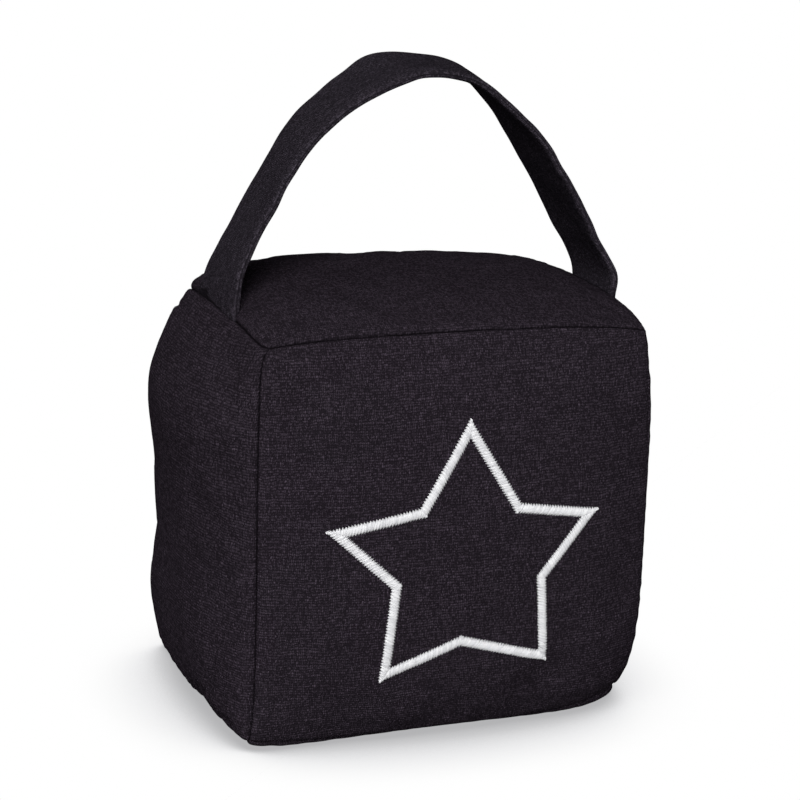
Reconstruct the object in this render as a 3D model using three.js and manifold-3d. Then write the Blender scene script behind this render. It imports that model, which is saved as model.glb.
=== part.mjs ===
// Weighted fabric door stop: a block sewn from six cloth panels over a heavy filling, with a
// cloth handle sewn into its top side seams and a five-point star in satin stitch on its front.
// Millimetres, +Z up, star side facing -Y. The origin is the middle of the face it rests on.

import * as THREE from 'three';
import { mergeVertices } from 'three/addons/utils/BufferGeometryUtils.js';
import Module from 'manifold-3d';

// Sewn block, measured seam to seam
const WIDTH = 150;
const DEPTH = 120;
const HEIGHT = 151.5;
const BOTTOM_SEAM = 1.6; // height of the lower seams above the floor

// How far the filling pushes each panel out past the plane of its seams
const CROWN = { front: 12.3, back: 9, top: 11 };
const TOP_LEAN = { right: -0.18, back: 0.3 }; // share by which the top's crown grows that way
// The side panels' crowns at even heights, from the floor to the top
const LEFT_CROWNS = [19.2, 18.4, 14.4, 16, 21.8, 14.2];
const RIGHT_CROWNS = [9, 7, 5.5, 7.5, 11.5, 6.4];
const SIDE_FULLNESS = 0.53; // a low power keeps a panel flat and turns it in tightly at its seams
const LOW_FULLNESS = 0.335; // the filling settles, so the panels stand fuller towards the floor
const TOP_FULLNESS = 0.4;
const UPRIGHT_SEAM_BULGE = 0.4;
const FRONT_SEAM_SAG = -1.2;
const SIDE_SEAM_RISE = 1.4;
const LOW_SEAM_SAG = -0.8; // the low front seam sinks in its middle and is drawn under the block
const LOW_SEAM_TUCK = 3.6;
const SEAM_REACH = 8; // a high power keeps a sag, rise or tuck close to its seam
const FLOOR_PRESS = 4.5; // how far the bottom panel would hang below the floor if it stood free
const FLOOR_FULLNESS = 0.24;

// Where each sewn corner ends up, as a shift from the plain corner of the block; a high reach
// keeps the shift close to the corner
const CORNERS = [
  { at: [-1, -1, 1], shift: [1, 0.6, -4], reach: 6 },
  { at: [1, -1, 1], shift: [-1, 2.5, -5.2], reach: 6 },
  { at: [-1, 1, 1], shift: [7.8, -1.8, -1.6], reach: 6 },
  { at: [1, 1, 1], shift: [-1.1, -1.5, 0.7], reach: 6 },
  { at: [-1, -1, -1], shift: [-2.7, -0.3, 3], reach: 8 },
  { at: [1, -1, -1], shift: [-5.4, 8.4, 5.8], reach: 8 },
  { at: [-1, 1, -1], shift: [-3.2, -0.4, 1.2], reach: 6 },
  { at: [1, 1, -1], shift: [-2, -1, 1], reach: 6 },
];
const BLOCK_SEGMENTS = 24; // along each edge, closer together near the seams
const ON_SEAM = 0.9999; // cube coordinates past this lie on a seam

// Handle: a flat tube of folded cloth, spread wide in the left seam and gathered in the right
const HANDLE_THICKNESS = 4.2;
// Widths and leans in degrees, each after the share of the handle's length where it stands
const HANDLE_WIDTHS = [
  [0, 53.4], [0.25, 46], [0.36, 44.8], [0.45, 51], [0.55, 45.2], [0.65, 47.4], [0.75, 48], [1, 37.2],
];
const HANDLE_LEANS = [
  [0, 0], [0.14, 6.8], [0.26, 5.5], [0.4, -0.4], [0.5, -3.9], [0.62, -7], [0.74, -3.6], [1, 0],
];
const SEAM_ALLOWANCE = 9; // length of each tail inside the block
const LEFT_SEAM = [-75.3, -4, 152];
const RIGHT_SEAM = [73.9, -10, 152];
const HANDLE_ARCH = [
  [-71.8, -4, 163.7], [-65, -4, 177.2], [-52, -4, 200], [-40, -4, 217], [-29.2, -4, 226.4],
  [-17.5, -4, 233.2], [-6.7, -4, 238], [8, -4, 238], [22.6, -4, 234.5], [40.2, -4, 218.8],
  [53.2, -5, 200], [66.2, -7, 176.6], [73.7, -9, 161.9],
];
const HANDLE_STEPS = 72;
const BAND_POINTS = 18;
const BAND_SQUARENESS = 0.5; // 1 gives an oval section, 0 a sharp rectangle
const CLEARANCE = 0.3; // between pieces that lie against each other
const MERGE_DISTANCE = 1e-4;
const SLOT_LENGTH = 24; // stretch of the handle that the seam opens for

// Star: corners of the middle of its stitched line, as x and height on the front panel
const STAR = [
  [0.1, 117.3], [18.9, 87.3], [47.8, 82.5], [29, 60.3], [31.7, 29.2],
  [-1.7, 38.9], [-29.6, 27.8], [-26.3, 61.5], [-48.3, 82.1], [-17.2, 88.1],
];
const STITCH_WIDTH = 3.3;
const STITCH_HEIGHT = 1.1;
const STITCH_STEPS = 7; // along each side of each point
const STITCH_SECTION = [
  [-1, 0], [-0.95, 0.5], [-0.6, 0.9], [0, 1], [0.6, 0.9], [0.95, 0.5], [1, 0],
];

const clothMaterial = new THREE.MeshStandardMaterial({ color: 0x29242a, roughness: 0.95, metalness: 0 });
const handleMaterial = new THREE.MeshStandardMaterial({ color: 0x262129, roughness: 0.95, metalness: 0 });
const threadMaterial = new THREE.MeshStandardMaterial({ color: 0xe6e6e8, roughness: 0.5, metalness: 0 });

const wasm = await Module();
wasm.setup();

// A smooth curve through a side panel's crowns, which its y gives
function crownCurve(crowns) {
  return new THREE.SplineCurve(crowns.map((crown, i) => new THREE.Vector2(i, crown)));
}

const leftCrown = crownCurve(LEFT_CROWNS);
const rightCrown = crownCurve(RIGHT_CROWNS);

// A point of the block's skin for cube coordinates a, b and c, each from -1 to 1
function blockPoint(a, b, c) {
  const across = Math.max(1 - a * a, 0);
  const along = Math.max(1 - b * b, 0);
  const upright = Math.max(1 - c * c, 0);
  const fullness = THREE.MathUtils.lerp(SIDE_FULLNESS, LOW_FULLNESS, Math.max(-c, 0));
  const nearTop = Math.max(c, 0) ** SEAM_REACH;
  const nearLowFront = (Math.max(-c, 0) ** SEAM_REACH * across * (1 - b)) / 2;
  const point = new THREE.Vector3(
    (WIDTH / 2) * a + UPRIGHT_SEAM_BULGE * a * upright,
    (DEPTH / 2) * b + UPRIGHT_SEAM_BULGE * b * upright + LOW_SEAM_TUCK * nearLowFront,
    BOTTOM_SEAM + ((HEIGHT - BOTTOM_SEAM) * (c + 1)) / 2 + LOW_SEAM_SAG * nearLowFront
      + nearTop * (FRONT_SEAM_SAG * across + SIDE_SEAM_RISE * along),
  );
  if (a === 1) point.x += rightCrown.getPoint((c + 1) / 2).y * (along * upright) ** fullness;
  if (a === -1) point.x -= leftCrown.getPoint((c + 1) / 2).y * (along * upright) ** fullness;
  if (b === 1) point.y += CROWN.back * (across * upright) ** fullness;
  if (b === -1) point.y -= CROWN.front * (across * upright) ** fullness;
  const topCrown = CROWN.top * (1 + TOP_LEAN.right * a + TOP_LEAN.back * b);
  if (c === 1) point.z += topCrown * (across * along) ** TOP_FULLNESS;
  for (const { at, shift, reach } of CORNERS) {
    const nearness = ((1 + at[0] * a) * (1 + at[1] * b) * (1 + at[2] * c)) / 8;
    point.addScaledVector(new THREE.Vector3(...shift), nearness ** reach);
  }
  if (c === -1) point.z -= (point.z + FLOOR_PRESS) * (across * along) ** FLOOR_FULLNESS;
  point.z = Math.max(point.z, 0);
  return point;
}

// Spreads even steps so that they crowd towards both seams
function towardsSeams(step) {
  return Math.abs(step) > ON_SEAM ? Math.sign(step) : Math.sin((Math.PI / 2) * step);
}

function blockGeometry() {
  const n = BLOCK_SEGMENTS;
  const geometry = new THREE.BoxGeometry(2, 2, 2, n, n, n);
  const position = geometry.attributes.position;
  for (let i = 0; i < position.count; i += 1) {
    const cube = [position.getX(i), position.getY(i), position.getZ(i)].map(towardsSeams);
    position.setXYZ(i, ...blockPoint(...cube).toArray());
  }
  return geometry;
}

// A closed skin over rings of points; the rings join end to start, or each end gets a cap
function loft(rings, joined) {
  const count = rings[0].length;
  const points = rings.flat();
  const faces = [];
  const spans = joined ? rings.length : rings.length - 1;
  for (let i = 0; i < spans; i += 1) {
    const here = i * count;
    const next = ((i + 1) % rings.length) * count;
    for (let k = 0; k < count; k += 1) {
      const m = (k + 1) % count;
      faces.push(here + k, next + m, here + m, here + k, next + k, next + m);
    }
  }
  if (!joined) {
    const last = (rings.length - 1) * count;
    for (let k = 1; k < count - 1; k += 1) {
      faces.push(0, k, k + 1, last, last + k + 1, last + k);
    }
  }
  const geometry = new THREE.BufferGeometry().setFromPoints(points);
  geometry.setIndex(faces);
  geometry.computeVertexNormals();
  return geometry;
}

const signedPower = (value, power) => Math.sign(value) * Math.abs(value) ** power;

const tailEnd = ([x, y, z]) => [x, y, z - SEAM_ALLOWANCE];

const handleRoute = new THREE.CatmullRomCurve3(
  [
    tailEnd(LEFT_SEAM), LEFT_SEAM, ...HANDLE_ARCH, RIGHT_SEAM, tailEnd(RIGHT_SEAM),
  ].map((place) => new THREE.Vector3(...place)),
  false,
  'centripetal',
);
const handleLength = handleRoute.getLength();

// The value at a share of the handle's length, eased from stop to stop
function alongHandle(stops, share) {
  const passed = stops.filter(([at]) => at < share).length;
  const next = THREE.MathUtils.clamp(passed, 1, stops.length - 1);
  const [[from, first], [to, second]] = [stops[next - 1], stops[next]];
  return THREE.MathUtils.lerp(first, second, THREE.MathUtils.smoothstep(share, from, to));
}

// The handle's section at a share of its length, larger all round by the given margin
function bandRing(share, margin) {
  const centre = handleRoute.getPointAt(share);
  const forward = handleRoute.getTangentAt(share);
  const widthWays = new THREE.Vector3(0, 1, 0);
  const inward = new THREE.Vector3().crossVectors(widthWays, forward);
  const lean = THREE.MathUtils.degToRad(alongHandle(HANDLE_LEANS, share));
  widthWays.applyAxisAngle(forward, -lean);
  inward.applyAxisAngle(forward, -lean);
  const halfWidth = alongHandle(HANDLE_WIDTHS, share) / 2 + margin;
  const halfThickness = HANDLE_THICKNESS / 2 + margin;
  return Array.from({ length: BAND_POINTS }, (_, k) => {
    const angle = (2 * Math.PI * k) / BAND_POINTS;
    return centre.clone()
      .addScaledVector(widthWays, halfWidth * signedPower(Math.cos(angle), BAND_SQUARENESS))
      .addScaledVector(inward, halfThickness * signedPower(Math.sin(angle), BAND_SQUARENESS));
  });
}

function bandGeometry(from, to, steps, margin) {
  const shares = Array.from({ length: steps + 1 }, (_, i) => from + ((to - from) * i) / steps);
  return loft(shares.map((share) => bandRing(share, margin)), false);
}

function handleGeometry() {
  const ends = CLEARANCE / handleLength;
  return bandGeometry(ends, 1 - ends, HANDLE_STEPS, 0);
}

function toSolid(geometry) {
  const bare = geometry.clone();
  bare.deleteAttribute('normal');
  bare.deleteAttribute('uv');
  const merged = mergeVertices(bare, MERGE_DISTANCE);
  return new wasm.Manifold(new wasm.Mesh({
    numProp: 3,
    vertProperties: new Float32Array(merged.attributes.position.array),
    triVerts: new Uint32Array(merged.index.array),
  }));
}

function toGeometry(solid) {
  const mesh = solid.getMesh();
  const geometry = new THREE.BufferGeometry();
  geometry.setAttribute('position', new THREE.BufferAttribute(mesh.vertProperties, 3));
  geometry.setIndex(new THREE.BufferAttribute(mesh.triVerts, 1));
  geometry.computeVertexNormals();
  return geometry;
}

// The filled block, with its top side seams open round the handle's two tails
function bodyGeometry() {
  const share = SLOT_LENGTH / handleLength;
  const steps = Math.round(HANDLE_STEPS * share);
  const leftSlot = toSolid(bandGeometry(0, share, steps, CLEARANCE));
  const rightSlot = toSolid(bandGeometry(1 - share, 1, steps, CLEARANCE));
  return toGeometry(toSolid(blockGeometry()).subtract(leftSlot).subtract(rightSlot));
}

// A point on the front panel and the direction out of it, for an x and a height along the cloth
function frontPanel(x, height) {
  const at = (dx, dz) => blockPoint(
    (x + dx) / (WIDTH / 2),
    -1,
    (2 * (height + dz - BOTTOM_SEAM)) / (HEIGHT - BOTTOM_SEAM) - 1,
  );
  const sideways = at(1, 0).sub(at(-1, 0));
  const upwards = at(0, 1).sub(at(0, -1));
  return { point: at(0, 0), outward: sideways.cross(upwards).normalize() };
}

// One section of the star's stitching, laid on the panel along the given direction
function stitchRing(middle, reach) {
  return STITCH_SECTION.map(([side, rise]) => {
    const spot = middle.clone().addScaledVector(reach, side);
    const { point, outward } = frontPanel(spot.x, spot.y);
    return point.addScaledVector(outward, CLEARANCE + rise * STITCH_HEIGHT);
  });
}

// Half the stitch's width at a corner, turned along the mitre between the two sides
function mitre(before, corner, after) {
  const normal = (from, to) => new THREE.Vector2(from.y - to.y, to.x - from.x).normalize();
  const first = normal(before, corner);
  const second = normal(corner, after);
  const middle = first.clone().add(second).normalize();
  return middle.multiplyScalar(STITCH_WIDTH / 2 / middle.dot(first));
}

function starGeometry() {
  const corners = STAR.map(([x, z]) => new THREE.Vector2(x, z));
  const rings = [];
  corners.forEach((corner, i) => {
    const before = corners[(i + corners.length - 1) % corners.length];
    const after = corners[(i + 1) % corners.length];
    const beyond = corners[(i + 2) % corners.length];
    const start = mitre(before, corner, after);
    const end = mitre(corner, after, beyond);
    for (let step = 0; step < STITCH_STEPS; step += 1) {
      const share = step / STITCH_STEPS;
      rings.push(stitchRing(corner.clone().lerp(after, share), start.clone().lerp(end, share)));
    }
  });
  return loft(rings, true);
}

function part(name, geometry, material) {
  const mesh = new THREE.Mesh(geometry, material);
  mesh.name = name;
  return mesh;
}

const doorStop = new THREE.Group();
doorStop.add(
  part('stuffed_body', bodyGeometry(), clothMaterial),
  part('handle_strap', handleGeometry(), handleMaterial),
  part('star_embroidery', starGeometry(), threadMaterial),
);

export default doorStop;
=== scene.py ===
"""Weighted fabric door stop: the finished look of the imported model.

A block sewn from six canvas panels and filled until they crown, a folded canvas handle sewn into
its top side seams, and a five-point star in white zigzag satin stitch on its front.
Metres, +Z up, star side facing -Y. The origin is the middle of the face it rests on.
"""

import math

import bpy
import numpy as np
from mathutils import Matrix, Vector
from mathutils.bvhtree import BVHTree
from mathutils.kdtree import KDTree


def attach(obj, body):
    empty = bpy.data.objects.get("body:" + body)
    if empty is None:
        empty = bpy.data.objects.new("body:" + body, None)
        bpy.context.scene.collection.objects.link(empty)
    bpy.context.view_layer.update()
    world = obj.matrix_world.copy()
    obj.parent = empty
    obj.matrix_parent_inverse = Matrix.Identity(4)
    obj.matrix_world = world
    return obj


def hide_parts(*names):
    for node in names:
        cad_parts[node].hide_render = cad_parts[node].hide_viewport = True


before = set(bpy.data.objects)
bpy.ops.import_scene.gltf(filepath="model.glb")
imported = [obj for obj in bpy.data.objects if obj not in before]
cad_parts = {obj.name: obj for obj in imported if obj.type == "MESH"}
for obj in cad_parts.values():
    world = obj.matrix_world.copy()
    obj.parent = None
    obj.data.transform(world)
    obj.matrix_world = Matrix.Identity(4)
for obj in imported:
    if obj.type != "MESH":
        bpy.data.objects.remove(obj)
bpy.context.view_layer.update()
MM = 0.001

# Sewn block, measured seam to seam
WIDTH = 0.150
DEPTH = 0.120
HEIGHT = 0.1515
BOTTOM_SEAM = 0.0016  # height of the lower seams above the floor

# How far the filling pushes each panel out past the plane of its seams
CROWN = {"front": 0.0123, "back": 0.009, "top": 0.011}
TOP_LEAN = {"right": -0.18, "back": 0.3}  # share by which the top's crown grows that way
# The side panels' crowns at even heights, from the floor to the top
LEFT_CROWNS = [0.0192, 0.0184, 0.0144, 0.016, 0.0218, 0.0142]
RIGHT_CROWNS = [0.009, 0.007, 0.0055, 0.0075, 0.0115, 0.0064]
SIDE_FULLNESS = 0.53  # a low power keeps a panel flat and turns it in tightly at its seams
LOW_FULLNESS = 0.335  # the filling settles, so the panels stand fuller towards the floor
TOP_FULLNESS = 0.4
UPRIGHT_SEAM_BULGE = 0.0004
FRONT_SEAM_SAG = -0.0012
SIDE_SEAM_RISE = 0.0014
LOW_SEAM_SAG = -0.0008  # the low front seam sinks in its middle and is drawn under the block
LOW_SEAM_TUCK = 0.0036
SEAM_REACH = 8  # a high power keeps a sag, rise or tuck close to its seam
FLOOR_PRESS = 0.0045  # how far the bottom panel would hang below the floor if it stood free
FLOOR_FULLNESS = 0.24

# Where each sewn corner ends up, as a shift from the plain corner of the block; a high reach
# keeps the shift close to the corner
CORNERS = [
    {"at": (-1, -1, 1), "shift": (0.001, 0.0006, -0.004), "reach": 6},
    {"at": (1, -1, 1), "shift": (-0.001, 0.0025, -0.0052), "reach": 6},
    {"at": (-1, 1, 1), "shift": (0.0078, -0.0018, -0.0016), "reach": 6},
    {"at": (1, 1, 1), "shift": (-0.0011, -0.0015, 0.0007), "reach": 6},
    {"at": (-1, -1, -1), "shift": (-0.0027, -0.0003, 0.003), "reach": 8},
    {"at": (1, -1, -1), "shift": (-0.0054, 0.0084, 0.0058), "reach": 8},
    {"at": (-1, 1, -1), "shift": (-0.0032, -0.0004, 0.0012), "reach": 6},
    {"at": (1, 1, -1), "shift": (-0.002, -0.001, 0.001), "reach": 6},
]
# The upright front seam jogs to the right just below the front left top corner, and the cloth
# hangs slack at the back left top corner
JOG = {"at": (-1, -1, 1), "shift": (0.0031, 0, 0.0002), "reach": 40}
SLACK = {"at": (-1, 1, 1), "shift": (0.001, -0.001, -0.0048), "reach": 7}

# Lumps of the filling, in layers: height, shortest and longest wave, number of waves and seed
BODY_LUMPS = [(0.22 * MM, 30 * MM, 80 * MM, 24, 3), (0.06 * MM, 9 * MM, 20 * MM, 30, 4)]
LUMP_REACH = 12 * MM  # from the seams, over which the lumps grow to their height
LUMP_FLOOR = 6 * MM  # the same from the floor

# The skin's grid: the cube is cut twice, which gives this many squares along each edge
FIRST_CUTS = 61
SKIN_SQUARES = 2 * (FIRST_CUTS + 1)
SEAM_CROWDING = 2.4  # the power that draws the grid's lines towards the seams

# Simulated filling: a slacker pad swells between its pinned seams
PAD_CUTS = 40
PAD_FILL = 0.88  # its crowns, as a share of the filled block's
PAD_VOXEL = 0.005
PAD_PRESSURE = 4
PAD_LOOSENESS = -0.03  # the cloth is cut this share larger than the pad
PAD_FRAMES = 20
PAD_CAP = 0.006  # how far a point may move
PIN_REACH = 0.009  # from the seams, over which the pins let go
CLOTH_PLAY = 0.0009  # how far the simulated cloth may leave the block's measured shape
CLOTH_PLAY_REACH = 8 * MM  # from the seams, over which it gets that play
FLOOR_HOLD = (1 * MM, 4 * MM)  # the pad is held below the first height and free above the second

# Seams: a sunk line where two panels are stitched, drawn in a little more at each stitch
SEAM_DEPTH = 0.0007
SEAM_HALF_WIDTH = 0.0006
SEAM_STITCH = 0.0028
STITCH_PULL = 0.4
PUCKER_DEPTH = 0.0002
PUCKER_REACH = 0.0045
PUCKER_WAVES = (5 * MM, 13 * MM, 8)  # shortest and longest wave, and their number
PUCKER_SEED = 40

# Handle: a flat tube of folded cloth, spread wide in the left seam and gathered in the right
HANDLE_THICKNESS = 0.0042
# Widths and leans in degrees, each after the share of the handle's length where it stands
HANDLE_WIDTHS = [
    (0, 0.0534), (0.25, 0.046), (0.36, 0.0448), (0.45, 0.051), (0.55, 0.0452), (0.65, 0.0474),
    (0.75, 0.048), (1, 0.0345),
]
HANDLE_LEANS = [
    (0, 0), (0.14, 6.8), (0.26, 5.5), (0.4, -0.4), (0.5, -3.9), (0.62, -7), (0.74, -3.6), (1, 0),
]
HANDLE_SQUARENESS = 0.5  # the power that squares the tube's oval; at 1 it would be an ellipse
HANDLE_HOLLOW = 0.22  # how much thinner the tube is in its middle than at its folds
HANDLE_LUMPS = [(0.35 * MM, 30 * MM, 70 * MM, 12, 11), (0.10 * MM, 7 * MM, 16 * MM, 16, 12)]
HANDLE_EDGE_WAVES = [(0.35 * MM, 14 * MM, 40 * MM, 8, 13)]
HANDLE_FOOT = 0.17  # the height under which the handle may touch the block
CLEAR_OF_BLOCK = 0.05  # the distance to the block that is noted for all of the handle above that
SEAM_ALLOWANCE = 0.009  # length of each tail inside the block
LEFT_SEAM = (-0.0737, -0.004, 0.152)
RIGHT_SEAM = (0.0732, -0.0125, 0.152)
HANDLE_ARCH = [
    (-0.0712, -0.004, 0.1637), (-0.065, -0.004, 0.1772), (-0.052, -0.004, 0.200),
    (-0.040, -0.004, 0.217), (-0.0292, -0.004, 0.2264), (-0.0175, -0.004, 0.2332),
    (-0.0067, -0.004, 0.238), (0.008, -0.004, 0.238), (0.0226, -0.004, 0.2345),
    (0.0402, -0.004, 0.2188), (0.0532, -0.005, 0.200), (0.0662, -0.007, 0.1766),
    (0.0737, -0.0105, 0.1619),
]
HANDLE_CUTS = 99
HANDLE_STEPS = 2 * (HANDLE_CUTS + 1)  # the tube is halved, and then each half is cut
BAND_POINTS = 240

# Star: corners of the middle of its stitched line, as x and height on the front panel
STAR = [
    (-0.0003, 0.1174), (0.0185, 0.0872), (0.0475, 0.0825), (0.0286, 0.0602), (0.0313, 0.0291),
    (-0.0020, 0.0388), (-0.0300, 0.0278), (-0.0268, 0.0616), (-0.0488, 0.0822),
    (-0.0177, 0.0882),
]
STITCH_WIDTH = 0.0032
STITCH_HEIGHT = 0.0010
STITCH_PITCH = 0.00037  # between neighbouring stitches along the line
STITCH_SLANT = 24  # degrees off square to the line
TOOTH_STITCHES = 3  # stitches to each tooth along the line's edges
TOOTH_DEPTH = 0.0008
TIP_OVERLAP = 0.00035  # how far the stitches of two sides run past each other at a corner
STITCH_SINK = 0.1 * MM  # how deep both ends of a stitch go into the cloth
STITCH_ARCH = 0.6  # a low power makes a stitch rise steeply at its ends
STITCH_CHANCE = 0.05 * MM  # how far the ends and the tops of the stitches vary
STITCH_DRIFT = 0.03 * MM  # how far a stitch slips along the line
SHORTEST_STITCH = 0.3 * MM
STRAND_DIAMETER = 0.00046
STRAND_FLATNESS = 1.15  # a strand is pressed this much wider than it is round
STRAND_TAPER = 0.3  # how much thinner it gets at the needle holes
STRAND_SIDES = 5
STRAND_STEPS = 6

# Camera: a lens nearly three times as long as its picture is wide, aimed near the middle
CAMERA_AZIMUTH = -20.49
CAMERA_ELEVATION = 13.69
CAMERA_ROLL = 1.29
CAMERA_DISTANCE = 0.85705
CAMERA_TARGET = Vector((-0.0004, 0, 0.11092))
CAMERA_LENS = 100.84
SENSOR_WIDTH = 36

# Studio light: a large soft lamp at the front left, a weaker one at the left, and an even sky
LAMPS = [
    {"name": "key", "azimuth": -24, "elevation": 32, "spread": 34, "strength": 3.6},
    {"name": "fill", "azimuth": -105, "elevation": 18, "spread": 70, "strength": 0.6},
]
SKY_STRENGTH = 0.09

# Cloth: sizes across the threads in metres, and shades as shares of a cloth's own shade
WARP_PITCH = 0.00066  # between the threads that run up a panel
WEFT_PITCH = 0.00103  # between those that run across it
CLOTH_OFFSET = np.array((0.37, 0.19))  # from panel to panel, so that no weave runs on past a seam
FACE_OFFSET = 0.5  # the same from the handle's lower face to its upper one
THREAD_WANDER = [(230, 0.0016), (45, 0.0024)]  # scale of each wave of the threads, and its reach
SLUB_SCALE = (70, 1000, 1)  # slubs are long along the weft and thin across it
PATCH_SCALE = 40
FIBRE_SCALE = 2000
# Ends of the weave's colour: the yarn's own tone, with painted shade between the threads and a
# painted highlight on their tops
DARK_FIBRE_AND_SHADE = 0.5
PALE_FIBRE_AND_HIGHLIGHT = 2.9
LINT = {"share": 0.012, "strength": 0.3, "shade": 5}
# Painted shade: a ragged dark line in the sunk seams and where the handle meets the block
CREASE_PAINTED_SHADE = {"width": 0.0005, "least": 0.0001, "strength": 0.85, "shade": 0.2}
# Painted highlight: pale fibre tops along the handle's folds
FOLD_PAINTED_HIGHLIGHT = {"strength": 0.6, "shade": 2.6}
BODY_SHADE = (0.0234, 0.0184, 0.0246)
# The handle is the body's cloth painted lighter and bluer: painted light for its upward faces,
# which the lamps light less
HANDLE_SHADE_PAINTED_LIGHTER = (0.0262, 0.0222, 0.0288)

rng = np.random.default_rng(7)  # for what varies from stitch to stitch


def deselect_all():
    if bpy.context.object and bpy.context.object.mode != "OBJECT":
        bpy.ops.object.mode_set(mode="OBJECT")
    bpy.ops.object.select_all(action="DESELECT")


def finished_primitive(name):
    """The primitive just added, under its own name, with its place in its mesh."""
    piece = bpy.context.object
    piece.name = name
    piece.data.name = name
    bpy.ops.object.transform_apply(location=True, rotation=True, scale=True)
    return piece


def points_of(piece):
    points = np.zeros(len(piece.data.vertices) * 3)
    piece.data.vertices.foreach_get("co", points)
    return points.reshape(-1, 3)


def place_points(piece, points):
    piece.data.vertices.foreach_set("co", np.ascontiguousarray(points, np.float32).ravel())
    piece.data.update()


def smooth(piece):
    deselect_all()
    piece.select_set(True)
    bpy.context.view_layer.objects.active = piece
    bpy.ops.object.shade_smooth()


def ease(values, start, end):
    """0 before start, 1 after end, and a smooth step between them."""
    share = np.clip((values - start) / (end - start), 0, 1)
    return share * share * (3 - 2 * share)


def unevenness(points, shortest, longest, waves, seed):
    """Smooth unevenness of about -1 to 1 in space: a sum of waves that run every way."""
    draw = np.random.default_rng(seed)
    total = np.zeros(len(points))
    for _ in range(waves):
        direction = draw.normal(size=points.shape[1])
        direction /= np.linalg.norm(direction)
        length = draw.uniform(shortest, longest)
        total += np.sin(points @ direction * 2 * math.pi / length + draw.uniform(0, 2 * math.pi))
    return total / math.sqrt(waves)


def layered(points, layers):
    """The sum of layers of unevenness, each with its height."""
    return sum(height * unevenness(points, *waves) for height, *waves in layers)


def way_to(azimuth, elevation):
    """The way from the block to something that stands at these angles, in degrees."""
    turn, rise = math.radians(azimuth), math.radians(elevation)
    return Vector((
        math.sin(turn) * math.cos(rise), -math.cos(turn) * math.cos(rise), math.sin(rise)
    ))


def make_camera():
    azimuth, roll = math.radians(CAMERA_AZIMUTH), math.radians(CAMERA_ROLL)
    back = way_to(CAMERA_AZIMUTH, CAMERA_ELEVATION)
    right = Vector((math.cos(azimuth), math.sin(azimuth), 0))
    up = back.cross(right)
    across = right * math.cos(roll) + up * math.sin(roll)
    upright = up * math.cos(roll) - right * math.sin(roll)
    bpy.ops.object.camera_add()
    camera = bpy.context.object
    camera.name = "camera"
    camera.data.lens = CAMERA_LENS
    camera.data.sensor_width = SENSOR_WIDTH
    camera.data.clip_start = 0.05
    camera.data.clip_end = 100
    turn = Matrix((across, upright, back)).transposed().to_4x4()
    camera.matrix_world = Matrix.Translation(CAMERA_TARGET + back * CAMERA_DISTANCE) @ turn
    bpy.context.scene.camera = camera


def through_crowns(crowns, height):
    """The crown at each height from -1 to 1, on a smooth curve through even stops."""
    stops = np.array([crowns[0], *crowns, crowns[-1]])
    place = (height + 1) / 2 * (len(crowns) - 1)
    first = np.clip(place.astype(int), 0, len(crowns) - 2)
    t = place - first
    p0, p1, p2, p3 = (stops[first + k] for k in range(4))
    leave, reach = (p2 - p0) / 2, (p3 - p1) / 2
    cubic = 2 * p1 - 2 * p2 + leave + reach
    square = 3 * p2 - 3 * p1 - 2 * leave - reach
    return p1 + leave * t + square * t**2 + cubic * t**3


def corner_pull(cube, corner):
    """How each point is shifted by a sewn corner."""
    nearness = (np.prod(1 + cube * corner["at"], axis=1) / 8) ** corner["reach"]
    return nearness[:, None] * np.array(corner["shift"])


def block_points(cube, fill=1):
    """The block's skin, for rows of cube coordinates a, b and c, each from -1 to 1."""
    a, b, c = cube.T
    across, along, upright = (np.clip(1 - side * side, 0, None) for side in (a, b, c))
    fullness = SIDE_FULLNESS + (LOW_FULLNESS - SIDE_FULLNESS) * np.clip(-c, 0, None)
    near_top = np.clip(c, 0, None) ** SEAM_REACH
    near_low_front = np.clip(-c, 0, None) ** SEAM_REACH * across * (1 - b) / 2
    x = WIDTH / 2 * a + UPRIGHT_SEAM_BULGE * a * upright
    y = DEPTH / 2 * b + UPRIGHT_SEAM_BULGE * b * upright + LOW_SEAM_TUCK * near_low_front
    z = BOTTOM_SEAM + (HEIGHT - BOTTOM_SEAM) * (c + 1) / 2 + LOW_SEAM_SAG * near_low_front
    z += near_top * (FRONT_SEAM_SAG * across + SIDE_SEAM_RISE * along)
    side_bulge = fill * (along * upright) ** fullness
    face_bulge = fill * (across * upright) ** fullness
    x += (a == 1) * through_crowns(RIGHT_CROWNS, c) * side_bulge
    x -= (a == -1) * through_crowns(LEFT_CROWNS, c) * side_bulge
    y += (b == 1) * CROWN["back"] * face_bulge
    y -= (b == -1) * CROWN["front"] * face_bulge
    top_crown = CROWN["top"] * (1 + TOP_LEAN["right"] * a + TOP_LEAN["back"] * b)
    z += (c == 1) * top_crown * fill * (across * along) ** TOP_FULLNESS
    points = np.column_stack((x, y, z))
    for corner in CORNERS:
        points += corner_pull(cube, corner)
    pressed = (points[:, 2] + FLOOR_PRESS) * (across * along) ** FLOOR_FULLNESS
    points[:, 2] -= (c == -1) * pressed
    points[:, 2] = np.clip(points[:, 2], 0, None)
    return points


def crowd_to_seams(steps):
    """Turns even steps from -1 to 1 into steps that crowd towards both ends."""
    return np.sign(steps) * (1 - (1 - np.abs(steps)) ** SEAM_CROWDING)


def skin_grids(steps):
    """For each panel: its axis, the side of the block that it is on, and its vertex numbers."""
    count = SKIN_SQUARES + 1
    index = np.rint((steps + 1) / 2 * SKIN_SQUARES).astype(int)
    grids = []
    for axis in range(3):
        along = [other for other in range(3) if other != axis]
        for side in (0, SKIN_SQUARES):
            on = np.flatnonzero(index[:, axis] == side)
            grid = np.zeros((count, count), int)
            grid[index[on, along[0]], index[on, along[1]]] = on
            grids.append({"axis": axis, "side": 1 if side else -1, "grid": grid})
    return grids


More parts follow.
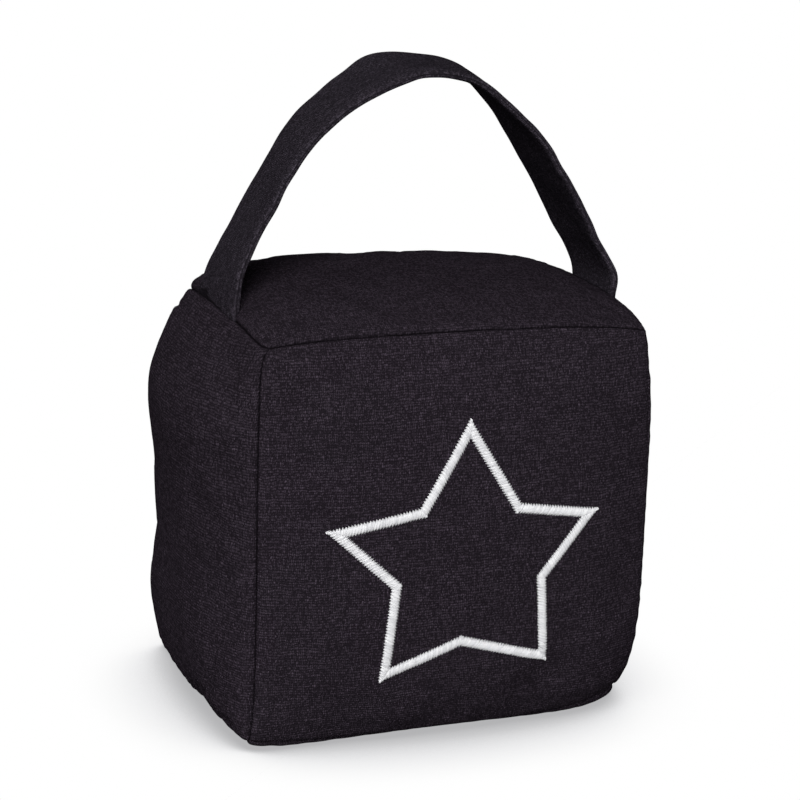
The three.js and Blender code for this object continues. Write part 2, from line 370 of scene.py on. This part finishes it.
def cloth_lengths(points, grid):
    """Lengths measured along the cloth over a panel, both ways, from its first seams."""
    spots = points[grid]
    steps_u = np.linalg.norm(np.diff(spots, axis=0), axis=2)
    steps_v = np.linalg.norm(np.diff(spots, axis=1), axis=2)
    u = np.vstack((np.zeros(grid.shape[1]), np.cumsum(steps_u, axis=0)))
    v = np.hstack((np.zeros((grid.shape[0], 1)), np.cumsum(steps_v, axis=1)))
    return u, v


def panel_edges(panel, points):
    """For a panel's four seams: the way to the seam and along it, and the seam's outward axis."""
    u, v = cloth_lengths(points, panel["grid"])
    first, second = [axis for axis in range(3) if axis != panel["axis"]]
    return [
        (u, v, first, -1), (u[-1] - u, v, first, 1),
        (v, u, second, -1), (v[:, -1:] - v, u, second, 1),
    ]


def seam_gaps(points, grids):
    """How far each point is from its nearest seam, along the cloth."""
    nearest = np.full(len(points), 1.0)
    for panel in grids:
        for gap, _, _, _ in panel_edges(panel, points):
            nearest[panel["grid"]] = np.minimum(nearest[panel["grid"]], gap)
    return nearest


def stitch_seams(points, grids):
    """Sinks the line of each seam between its two panels, with a stitch and puckers beside it."""
    sunk = np.zeros_like(points)
    counted = np.zeros(len(points))
    for number, panel in enumerate(grids):
        grid = panel["grid"]
        out = np.zeros(3)
        out[panel["axis"]] = panel["side"]
        move = np.zeros(grid.shape + (3,))
        for edge, (gap, run, axis, side) in enumerate(panel_edges(panel, points)):
            neighbour = np.zeros(3)
            neighbour[axis] = side
            inward = -(out + neighbour) / math.sqrt(2)
            pull = 1 + STITCH_PULL * np.cos(2 * math.pi * run / SEAM_STITCH)
            depth = SEAM_DEPTH * pull * np.exp(-((gap / SEAM_HALF_WIDTH) ** 2))
            seed = PUCKER_SEED + 4 * number + edge
            folds = unevenness(run.reshape(-1, 1), *PUCKER_WAVES, seed)
            pucker = PUCKER_DEPTH * folds.reshape(run.shape) * np.exp(-gap / PUCKER_REACH)
            pucker *= ease(gap, 0, 2 * MM)
            move += depth[..., None] * inward - pucker[..., None] * out
        sunk[grid] += move
        counted[grid] += 1
    return points + sunk / counted[:, None]


def cut_cube(name, *cuts):
    """A cube from -1 to 1, cut into an even grid."""
    deselect_all()
    bpy.ops.mesh.primitive_cube_add(size=2)
    bpy.ops.object.mode_set(mode="EDIT")
    bpy.ops.mesh.select_all(action="SELECT")
    for number in cuts:
        bpy.ops.mesh.subdivide(number_cuts=number)
    bpy.ops.object.mode_set(mode="OBJECT")
    return finished_primitive(name)


def cut_lengthways(piece, *cuts):
    """Cuts only the edges that run from end to end, so that the piece gets even rings."""
    bpy.context.scene.tool_settings.mesh_select_mode = (False, True, False)
    for number in cuts:
        for part in (*piece.data.vertices, *piece.data.polygons):
            part.select = False
        for edge in piece.data.edges:
            low, high = (piece.data.vertices[i].co.z for i in edge.vertices)
            edge.select = abs(low - high) > 0.01
        bpy.ops.object.mode_set(mode="EDIT")
        bpy.ops.mesh.subdivide(number_cuts=number)
        bpy.ops.object.mode_set(mode="OBJECT")


def tree_of(points):
    tree = KDTree(len(points))
    for index, point in enumerate(points):
        tree.insert(point, index)
    tree.balance()
    return tree


def simulate_pad(seam_points):
    """A slack pad and how far each of its points is pushed out while its seams are held."""
    pad = cut_cube("filled_pad", PAD_CUTS)
    place_points(pad, block_points(crowd_to_seams(points_of(pad)), PAD_FILL))
    voxels = pad.modifiers.new("voxels", "REMESH")
    voxels.mode = "VOXEL"
    voxels.voxel_size = PAD_VOXEL
    bpy.ops.object.modifier_apply(modifier=voxels.name)
    start = points_of(pad)
    seams = tree_of(seam_points)
    distance = np.array([seams.find(point)[2] for point in start])
    hold = 1 - ease(distance, PAD_VOXEL / 2, PIN_REACH)
    hold = np.maximum(hold, 1 - ease(start[:, 2], *FLOOR_HOLD))
    sewn = pad.vertex_groups.new(name="sewn")
    for index, weight in enumerate(hold):
        sewn.add([index], float(weight), "REPLACE")
    filling = pad.modifiers.new("filling", "CLOTH")
    filling.settings.quality = 6
    filling.settings.vertex_group_mass = sewn.name
    filling.settings.use_pressure = True
    filling.settings.uniform_pressure_force = PAD_PRESSURE
    filling.settings.shrink_min = PAD_LOOSENESS
    filling.settings.effector_weights.gravity = 0
    filling.collision_settings.use_collision = False
    for number in range(1, PAD_FRAMES + 1):
        bpy.context.scene.frame_set(number)
    swollen = pad.evaluated_get(bpy.context.evaluated_depsgraph_get())
    moved = points_of(swollen) - start
    bpy.context.scene.frame_set(1)
    bpy.data.objects.remove(pad)
    length = np.linalg.norm(moved, axis=1)
    return start, moved * np.minimum(1, PAD_CAP / np.maximum(length, 1e-9))[:, None]


def swell(cube, points, gap, grids):
    """Gives the skin the simulated cloth's own unevenness, at the block's measured fullness."""
    slack = block_points(cube, PAD_FILL)
    start, pushed = simulate_pad(slack[gap == 0])
    pad_tree = tree_of(start)
    move = np.zeros_like(points)
    for index, point in enumerate(slack):
        near = pad_tree.find_n(point, 4)
        weights = np.array([1 / (distance + 0.5 * MM) ** 2 for _, _, distance in near])
        move[index] = weights @ pushed[[i for _, i, _ in near]] / weights.sum()
    filled = points - slack
    for panel in grids:
        inside = panel["grid"][1:-1, 1:-1]
        wanted = filled[inside, panel["axis"]].mean()
        given = move[inside, panel["axis"]].mean()
        scale = wanted / given if abs(given) > 1e-5 else 0
        play = np.clip(scale * move[inside] - filled[inside], -CLOTH_PLAY, CLOTH_PLAY)
        points[inside] += play * ease(gap[inside], 0, CLOTH_PLAY_REACH)[..., None]
    return points


def skin_normals(body, points):
    place_points(body, points)
    normals = np.zeros(len(points) * 3)
    body.data.vertex_normals.foreach_get("vector", normals)
    return normals.reshape(-1, 3)


def lay_cloth(body, points, grids):
    """A UV map in metres of cloth for each panel, so that the weave ends at each seam."""
    place = np.zeros((len(points), 2))
    normals = np.zeros(len(body.data.polygons) * 3)
    corners = np.zeros(len(body.data.loops), int)
    body.data.loops.foreach_get("vertex_index", corners)
    body.data.polygons.foreach_get("normal", normals)
    normals = normals.reshape(-1, 3)
    faces = np.repeat(np.arange(len(normals)), 4)
    uv = np.zeros((len(corners), 2))
    for number, panel in enumerate(grids):
        u, v = cloth_lengths(points, panel["grid"])
        middle = SKIN_SQUARES // 2
        place[panel["grid"]] = np.stack((u - u[middle], v - v[:, middle:middle + 1]), axis=2)
        here = normals[faces, panel["axis"]] * panel["side"] > 0.5
        uv[here] = place[corners[here]] + number * CLOTH_OFFSET
    body.data.uv_layers.active.data.foreach_set("uv", uv.ravel())


def make_body():
    body = cut_cube("canvas_block", FIRST_CUTS, 1)
    steps = points_of(body)
    cube = crowd_to_seams(steps)
    grids = skin_grids(steps)
    points = block_points(cube)
    gap = seam_gaps(points, grids)
    lay_cloth(body, points, grids)
    points = swell(cube, points, gap, grids)
    lumps = layered(points, BODY_LUMPS)
    lumps *= ease(gap, 0, LUMP_REACH) * ease(points[:, 2], 0, LUMP_FLOOR)
    points = points + lumps[:, None] * skin_normals(body, points)
    points = stitch_seams(points, grids) + corner_pull(cube, JOG) + corner_pull(cube, SLACK)
    points[:, 2] = np.clip(points[:, 2], 0, None)
    place_points(body, points)
    # The distance from the seams also places the painted seam shade in the finish
    seam_gap = body.data.attributes.new("seam_gap", "FLOAT", "POINT")
    seam_gap.data.foreach_set("value", gap.astype(np.float32))
    smooth(body)
    return body


def through_points(route, samples):
    """Even samples along the centripetal Catmull-Rom curve through the route's points."""
    route = np.array(route)
    ends = [2 * route[0] - route[1], *route, 2 * route[-1] - route[-2]]
    path = []
    for p0, p1, p2, p3 in zip(ends, ends[1:], ends[2:], ends[3:]):
        d0, d1, d2 = (np.linalg.norm(q - p) ** 0.5 for p, q in ((p0, p1), (p1, p2), (p2, p3)))
        leave = ((p1 - p0) / d0 - (p2 - p0) / (d0 + d1) + (p2 - p1) / d1) * d1
        reach = ((p2 - p1) / d1 - (p3 - p1) / (d1 + d2) + (p3 - p2) / d2) * d1
        t = np.linspace(0, 1, 60, endpoint=False)[:, None]
        cubic = 2 * p1 - 2 * p2 + leave + reach
        square = 3 * p2 - 3 * p1 - 2 * leave - reach
        path.append(p1 + leave * t + square * t**2 + cubic * t**3)
    path = np.vstack((*path, route[-1]))
    length = np.concatenate(([0], np.cumsum(np.linalg.norm(np.diff(path, axis=0), axis=1))))
    even = np.linspace(0, length[-1], samples)
    return np.column_stack([np.interp(even, length, path[:, i]) for i in range(3)]), length[-1]


def along_handle(stops, share):
    """The value at each share of the handle's length, eased between stops."""
    values = np.full_like(share, stops[0][1], dtype=float)
    for (start, before), (end, after) in zip(stops, stops[1:]):
        values += (after - before) * ease(share, start, end)
    return values


def make_handle(body):
    deselect_all()
    bpy.ops.mesh.primitive_cylinder_add(vertices=BAND_POINTS, radius=1, depth=2)
    cut_lengthways(bpy.context.object, 1, HANDLE_CUTS)
    handle = finished_primitive("folded_handle")
    tube = points_of(handle)
    share = (tube[:, 2] + 1) / 2
    angle = np.arctan2(tube[:, 1], tube[:, 0])
    points, cloth, fold = band_points(share, angle)
    place_points(handle, points)
    # Nearness to a fold places the painted fold highlight in the finish
    folded = handle.data.attributes.new("fold", "FLOAT", "POINT")
    folded.data.foreach_set("value", fold.astype(np.float32))
    # The distance out of the block places the painted shade where the handle goes into it
    tree = BVHTree.FromObject(body, bpy.context.evaluated_depsgraph_get())
    out_of_body = np.full(len(points), CLEAR_OF_BLOCK)
    for index in np.flatnonzero(points[:, 2] < HANDLE_FOOT):
        near, normal, _, _ = tree.find_nearest(Vector(points[index]))
        out_of_body[index] = (Vector(points[index]) - near) @ normal
    seam_gap = handle.data.attributes.new("seam_gap", "FLOAT", "POINT")
    seam_gap.data.foreach_set("value", out_of_body.astype(np.float32))
    corners = np.zeros(len(handle.data.loops), int)
    handle.data.loops.foreach_get("vertex_index", corners)
    handle.data.uv_layers.active.data.foreach_set("uv", cloth[corners].ravel())
    smooth(handle)
    return handle


def band_points(share, angle):
    """The handle's skin, with its place on the cloth and its nearness to a fold, from 0 to 1."""
    tails = [(x, y, z - SEAM_ALLOWANCE) for x, y, z in (LEFT_SEAM, RIGHT_SEAM)]
    route, length = through_points(
        [tails[0], LEFT_SEAM, *HANDLE_ARCH, RIGHT_SEAM, tails[1]], HANDLE_STEPS + 1
    )
    forward = np.gradient(route, axis=0)
    forward /= np.linalg.norm(forward, axis=1)[:, None]
    row = np.clip(np.rint(share * HANDLE_STEPS).astype(int), 0, HANDLE_STEPS)
    centre, forward = route[row], forward[row]
    width_ways = np.tile((0.0, 1.0, 0.0), (len(row), 1))
    inward = np.cross(width_ways, forward)
    lean = np.radians(-along_handle(HANDLE_LEANS, share))[:, None]
    leaned = width_ways * np.cos(lean) + np.cross(forward, width_ways) * np.sin(lean)
    inward = inward * np.cos(lean) + np.cross(forward, inward) * np.sin(lean)
    half_width = along_handle(HANDLE_WIDTHS, share) / 2
    side = np.sign(np.cos(angle)) * np.abs(np.cos(angle)) ** HANDLE_SQUARENESS
    rise = np.sign(np.sin(angle)) * np.abs(np.sin(angle)) ** HANDLE_SQUARENESS
    plump = 1 - HANDLE_HOLLOW * (1 - side**4)
    places = np.column_stack((share * length, half_width * side))
    creep = layered(places, HANDLE_LUMPS)
    wavy_edge = layered(places[:, :1], HANDLE_EDGE_WAVES)
    points = (
        centre
        + leaned * ((half_width + wavy_edge) * side)[:, None]
        + inward * (HANDLE_THICKNESS / 2 * rise * plump + creep)[:, None]
    )
    girth = half_width * np.abs(side) + HANDLE_THICKNESS / 2 * (1 - np.abs(rise))
    cloth = np.column_stack((share * length, np.sign(side) * girth + (rise > 0) * FACE_OFFSET))
    return points, cloth, np.abs(side) ** 8


def star_sides():
    """Each side of the star's line: its two corners, between the one before and the one after."""
    corners = [np.array(corner) for corner in STAR]
    count = len(corners)
    sides = []
    for i in range(count):
        sides.append([corners[(i + k) % count] for k in (-1, 0, 1, 2)])
    return sides


def unit(vector):
    return vector / np.linalg.norm(vector)


def mitred_span(spot, across, start_cut, end_cut, half):
    """How far a stitch reaches to each side of the line before it meets a mitre."""
    low, high = -half, half
    for origin, direction, keep in (start_cut, end_cut):
        normal = np.array((-direction[1], direction[0])) * keep
        distance = (spot - origin) @ normal + TIP_OVERLAP
        slope = across @ normal
        if abs(slope) < 1e-6:
            if distance < 0:
                return None
            continue
        cut = -distance / slope
        if slope > 0:
            low = max(low, cut)
        else:
            high = min(high, cut)
    return (low, high) if high - low > SHORTEST_STITCH else None


def stitch_legs():
    """Both ends of each satin stitch, as pairs of x and height on the panel."""
    legs = []
    for before, start, end, after in star_sides():
        along = unit(end - start)
        across = np.array((-along[1], along[0]))
        start_mitre = unit(unit(start - before) * -1 + along)
        end_mitre = unit(unit(after - end) - along)
        cuts = []
        for origin, mitre, inside in ((start, start_mitre, end), (end, end_mitre, start)):
            normal = np.array((-mitre[1], mitre[0]))
            keep = math.copysign(1, (inside - origin) @ normal)
            cuts.append((origin, mitre, keep))
        slant = math.radians(STITCH_SLANT)
        slanted = across * math.cos(slant) + along * math.sin(slant)
        length = np.linalg.norm(end - start)
        reach = 4 * STITCH_WIDTH
        half = STITCH_WIDTH / 2 / math.cos(slant)
        for k in range(int((length + 2 * reach) / STITCH_PITCH)):
            spot = start + along * (k * STITCH_PITCH - reach)
            span = mitred_span(spot, slanted, *cuts, half)
            if span is None:
                continue
            tooth = (k % TOOTH_STITCHES) / TOOTH_STITCHES * TOOTH_DEPTH
            low = span[0] - TOOTH_DEPTH / 2 + tooth + rng.normal(0, STITCH_CHANCE)
            high = span[1] + TOOTH_DEPTH / 2 - tooth + rng.normal(0, STITCH_CHANCE)
            drift = along * rng.normal(0, STITCH_DRIFT)
            legs.append((spot + slanted * low + drift, spot + slanted * high + drift))
    return legs


def make_star(body):
    deselect_all()
    bpy.ops.mesh.primitive_cylinder_add(vertices=STRAND_SIDES, radius=1, depth=2)
    cut_lengthways(bpy.context.object, STRAND_STEPS - 1)
    strand = finished_primitive("satin_strand")
    pattern = points_of(strand)
    share = (pattern[:, 2] + 1) / 2
    ring = np.rint(share * STRAND_STEPS).astype(int)
    tree = BVHTree.FromObject(body, bpy.context.evaluated_depsgraph_get())
    copies = []
    for first, last in stitch_legs():
        copy = strand.copy()
        copy.data = strand.data.copy()
        bpy.context.collection.objects.link(copy)
        place_points(copy, strand_points(tree, first, last, pattern, ring))
        # A random value for each stitch, which sets its painted shade in the thread's finish
        lot = np.full(2 * len(copy.data.loops), rng.uniform())
        copy.data.uv_layers.active.data.foreach_set("uv", lot)
        copies.append(copy)
    deselect_all()
    bpy.data.objects.remove(strand)
    for copy in copies:
        copy.select_set(True)
    bpy.context.view_layer.objects.active = copies[0]
    bpy.ops.object.join()
    star = finished_primitive("star_satin_stitch")
    smooth(star)
    return star


def strand_points(tree, first, last, pattern, ring):
    """One stitch: up through a needle hole, over the padding and down the other hole."""
    shares = np.linspace(0, 1, STRAND_STEPS + 1)
    arch = np.sin(math.pi * shares) ** STITCH_ARCH
    spots = first + (last - first) * shares[:, None]
    height = 2 * (spots[:, 1] - BOTTOM_SEAM) / (HEIGHT - BOTTOM_SEAM) - 1
    cube = np.column_stack((2 * spots[:, 0] / WIDTH, np.full(len(spots), -1.0), height))
    line, normals = [], []
    top = STITCH_HEIGHT - STRAND_DIAMETER / 2 + rng.normal(0, STITCH_CHANCE)
    for guess, lift in zip(block_points(cube), arch):
        near, normal, _, _ = tree.find_nearest(Vector(guess))
        line.append(np.array(near + normal * (lift * top - STITCH_SINK)))
        normals.append(np.array(normal))
    line, normals = np.array(line), np.array(normals)
    forward = np.gradient(line, axis=0)
    forward /= np.linalg.norm(forward, axis=1)[:, None]
    sideways = np.cross(normals, forward)
    sideways /= np.linalg.norm(sideways, axis=1)[:, None]
    upwards = np.cross(forward, sideways)
    thin = STRAND_DIAMETER / 2 * (1 - STRAND_TAPER * (1 - arch))
    return (
        line[ring]
        + sideways[ring] * (pattern[:, 0] * thin[ring])[:, None] * STRAND_FLATNESS
        + upwards[ring] * (pattern[:, 1] * thin[ring])[:, None]
    )


class Wire:
    """A socket of a finish that adds Math nodes for plain arithmetic."""

    def __init__(self, finish, socket):
        self.finish = finish
        self.socket = socket

    def maths(self, operation, *others):
        return self.finish.node("ShaderNodeMath", {"operation": operation}, [self, *others])

    def __add__(self, other):
        return self.maths("ADD", other)

    def __sub__(self, other):
        return self.maths("SUBTRACT", other)

    def __rsub__(self, other):
        return self.finish.node("ShaderNodeMath", {"operation": "SUBTRACT"}, [other, self])

    def __mul__(self, other):
        return self.maths("MULTIPLY", other)

    def __truediv__(self, other):
        return self.maths("DIVIDE", other)

    def __pow__(self, other):
        return self.maths("POWER", other)

    __radd__ = __add__
    __rmul__ = __mul__


class Finish:
    """The nodes of a material or a world, built on the shader that it starts with."""

    def __init__(self, data, shader="Principled BSDF", **sockets):
        self.data = data
        self.data.use_nodes = True
        self.nodes = self.data.node_tree.nodes
        self.links = self.data.node_tree.links
        self.shader = self.nodes[shader]
        for socket, value in sockets.items():
            self.shader.inputs[socket.replace("_", " ")].default_value = value

    def node(self, kind, settings=None, inputs=(), output=0):
        """A node of that type; settings come first, then the values or links of its sockets."""
        node = self.nodes.new(kind)
        for name, value in (settings or {}).items():
            if name == "stops":
                self.set_stops(node.color_ramp, value)
            else:
                setattr(node, name, value)
        sockets = inputs.items() if isinstance(inputs, dict) else enumerate(inputs)
        for key, value in sockets:
            if isinstance(value, Wire):
                self.links.new(value.socket, node.inputs[key])
            else:
                node.inputs[key].default_value = value
        return Wire(self, node.outputs[output])

    def set_stops(self, ramp, stops):
        while len(ramp.elements) < len(stops):
            ramp.elements.new(0.5)
        for element, (place, colour) in zip(ramp.elements, stops):
            element.position = place
            element.color = (*colour, 1)

    def mix(self, factor, first, second):
        """The colour or value between two, at the factor from 0 to 1."""
        return self.node(
            "ShaderNodeMix", {"data_type": "RGBA"}, {0: factor, 6: first, 7: second}, output=2
        )

    def feed(self, socket, wire):
        self.links.new(wire.socket, self.shader.inputs[socket])


def tinted(shade, strength):
    return (*(strength * value for value in shade), 1)


def canvas_finish(name, shade, folds=False):
    """Plain-woven canvas: uneven threads over and under each other, with slubs and lint, thread
    tops painted lighter as a painted highlight, painted shade along the seams, and with folds a
    painted highlight along them.
    """
    cloth = Finish(bpy.data.materials.new(name), Roughness=1.0, Specular_IOR_Level=0.0)
    uv = cloth.node("ShaderNodeUVMap")
    moved = uv
    for scale, reach in THREAD_WANDER:
        wander = cloth.node("ShaderNodeTexNoise", {}, {"Vector": uv, "Scale": scale}, "Color")
        shift = cloth.node(
            "ShaderNodeVectorMath", {"operation": "SUBTRACT"}, [wander, (0.5, 0.5, 0.5)]
        )
        scaled = cloth.node(
            "ShaderNodeVectorMath", {"operation": "SCALE"}, {0: shift, "Scale": reach}
        )
        moved = cloth.node("ShaderNodeVectorMath", {"operation": "ADD"}, [moved, scaled])
    x = cloth.node("ShaderNodeSeparateXYZ", {}, [moved], output=0) / WARP_PITCH
    y = cloth.node("ShaderNodeSeparateXYZ", {}, [moved], output=1) / WEFT_PITCH
    column, row = x.maths("FLOOR"), y.maths("FLOOR")
    warp_round = ((x - column) * math.pi).maths("SINE")
    weft_round = ((y - row) * math.pi).maths("SINE")
    warp_rise = ((y - 0.5 + column) * math.pi).maths("COSINE") * 0.5 + 0.5
    weft_rise = 0.5 - ((x - 0.5 + row) * math.pi).maths("COSINE") * 0.5
    height = (warp_round * warp_rise).maths("MAXIMUM", weft_round * weft_rise)
    cells = cloth.node("ShaderNodeCombineXYZ", {}, [column, row])
    lot = cloth.node("ShaderNodeTexWhiteNoise", {"noise_dimensions": "2D"}, {"Vector": cells})
    streaks = cloth.node("ShaderNodeMapping", {}, {"Vector": uv, "Scale": SLUB_SCALE})
    slub = cloth.node("ShaderNodeTexNoise", {}, {"Vector": streaks, "Scale": 1, "Detail": 3})
    patches = cloth.node(
        "ShaderNodeTexNoise", {}, {"Vector": uv, "Scale": PATCH_SCALE, "Detail": 3}
    )
    fibres = cloth.node(
        "ShaderNodeTexNoise", {}, {"Vector": uv, "Scale": FIBRE_SCALE, "Detail": 2}
    )
    # The thread tops are painted lighter than the threads between them, a painted highlight and
    # painted shade on the weave's relief, times the yarn's own uneven tone
    tops = (0.1 + 0.9 * height) * (0.2 + 0.8 * lot) * (0.3 + 1.4 * slub) * (0.8 + 0.4 * patches)
    light = (1.5 * tops - 0.3 + (fibres - 0.5) * 2.4).maths("MINIMUM", 1.5).maths("MAXIMUM", 0)
    colour = cloth.mix(light / 1.5, tinted(shade, DARK_FIBRE_AND_SHADE), tinted(shade, PALE_FIBRE_AND_HIGHLIGHT))
    lint = lot.maths("GREATER_THAN", 1 - LINT["share"]) * height * LINT["strength"]
    colour = cloth.mix(lint, colour, tinted(shade, LINT["shade"]))
    # Painted shade: darker in a ragged line where seam_gap is small, in the sunk seams and where
    # the handle meets the block
    gap = cloth.node("ShaderNodeAttribute", {"attribute_name": "seam_gap"}, output="Fac")
    ragged = gap / (CREASE_PAINTED_SHADE["width"] * fibres + CREASE_PAINTED_SHADE["least"])
    painted_crease_shade = (1.4 - ragged).maths("MAXIMUM", 0).maths("MINIMUM", CREASE_PAINTED_SHADE["strength"])
    colour = cloth.mix(painted_crease_shade, colour, tinted(shade, CREASE_PAINTED_SHADE["shade"]))
    # With folds, a painted highlight speckles the fibre tops along the handle's folds
    if folds:
        fold = cloth.node("ShaderNodeAttribute", {"attribute_name": "fold"}, output="Fac")
        painted_fold_highlight = (fold * lot**3 * fibres).maths("MINIMUM", FOLD_PAINTED_HIGHLIGHT["strength"])
        colour = cloth.mix(painted_fold_highlight, colour, tinted(shade, FOLD_PAINTED_HIGHLIGHT["shade"]))
    cloth.feed("Base Color", colour)
    bump = cloth.node("ShaderNodeBump", {}, {"Strength": 1.0, "Distance": 0.0004, "Height": tops})
    cloth.feed("Normal", bump)
    return cloth.data


def thread_finish():
    """White thread, each stitch a little lighter or darker by the value in its UV map: painted
    shade from stitch to stitch that stands in for the strands' shading of each other.
    """
    thread = Finish(bpy.data.materials.new("white_thread_painted_shade"), Roughness=0.5, Specular_IOR_Level=0.3)
    lot = thread.node("ShaderNodeSeparateXYZ", {}, [thread.node("ShaderNodeUVMap")])
    # The darker end is painted shade
    colour = thread.mix(lot, (0.60, 0.60, 0.62, 1), (0.79, 0.79, 0.80, 1))
    thread.feed("Base Color", colour)
    return thread.data


def white_rays(finish):
    """1 for the rays that see the background as white, and 0 for the rays that light things."""
    seen = finish.node("ShaderNodeLightPath", output="Is Camera Ray")
    glossy = finish.node("ShaderNodeLightPath", output="Is Glossy Ray")
    clear = finish.node("ShaderNodeLightPath", output="Is Transmission Ray")
    return seen.maths("MAXIMUM", glossy).maths("MAXIMUM", clear)


def floor_finish():
    """A pale matt floor that the camera sees as white, with the soft shadow at the block's foot."""
    floor = Finish(bpy.data.materials.new("pale_floor"))
    floor.nodes.remove(floor.shader)
    matt = floor.node("ShaderNodeBsdfDiffuse", {}, {"Color": (0.30, 0.30, 0.30, 1)})
    open_sky = floor.node(
        "ShaderNodeAmbientOcclusion", {"samples": 24}, {"Distance": 0.07}, output="AO"
    )
    shade = floor.node(
        "ShaderNodeValToRGB",
        {
            "stops": [
                (0.30, (0.45, 0.45, 0.46)), (0.46, (0.60, 0.60, 0.61)), (0.60, (0.84, 0.84, 0.85)),
                (0.72, (0.96, 0.96, 0.96)), (0.80, (1, 1, 1)),
            ]
        },
        [open_sky],
    )
    white = floor.node("ShaderNodeEmission", {}, {"Color": shade, "Strength": 1.0})
    mixed = floor.node("ShaderNodeMixShader", {}, [white_rays(floor), matt, white])
    floor.links.new(mixed.socket, floor.nodes["Material Output"].inputs["Surface"])
    return floor.data


def make_studio():
    deselect_all()
    bpy.ops.mesh.primitive_plane_add(size=60, location=(0, 0, -0.0001))
    floor = finished_primitive("floor")
    floor.data.materials.append(floor_finish())
    for lamp in LAMPS:
        bpy.ops.object.light_add(type="SUN")
        sun = bpy.context.object
        sun.name = lamp["name"]
        sun.data.energy = lamp["strength"]
        sun.data.angle = math.radians(lamp["spread"])
        towards = way_to(lamp["azimuth"], lamp["elevation"])
        sun.rotation_euler = towards.to_track_quat("Z", "Y").to_euler()
    sky = Finish(bpy.data.worlds.new("studio"), "Background", Color=(1, 1, 1, 1))
    sky.feed("Strength", SKY_STRENGTH + (1 - SKY_STRENGTH) * white_rays(sky))
    bpy.context.scene.world = sky.data


make_camera()
make_studio()

body = make_body()
body.data.materials.append(canvas_finish("black_canvas", BODY_SHADE))
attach(body, "root")
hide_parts("stuffed_body")

handle = make_handle(body)
handle.data.materials.append(canvas_finish("black_handle_canvas_painted_lighter", HANDLE_SHADE_PAINTED_LIGHTER, folds=True))
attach(handle, "root")
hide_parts("handle_strap")

star = make_star(body)
star.data.materials.append(thread_finish())
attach(star, "root")
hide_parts("star_embroidery")

bpy.context.scene.view_settings.view_transform = "Standard"
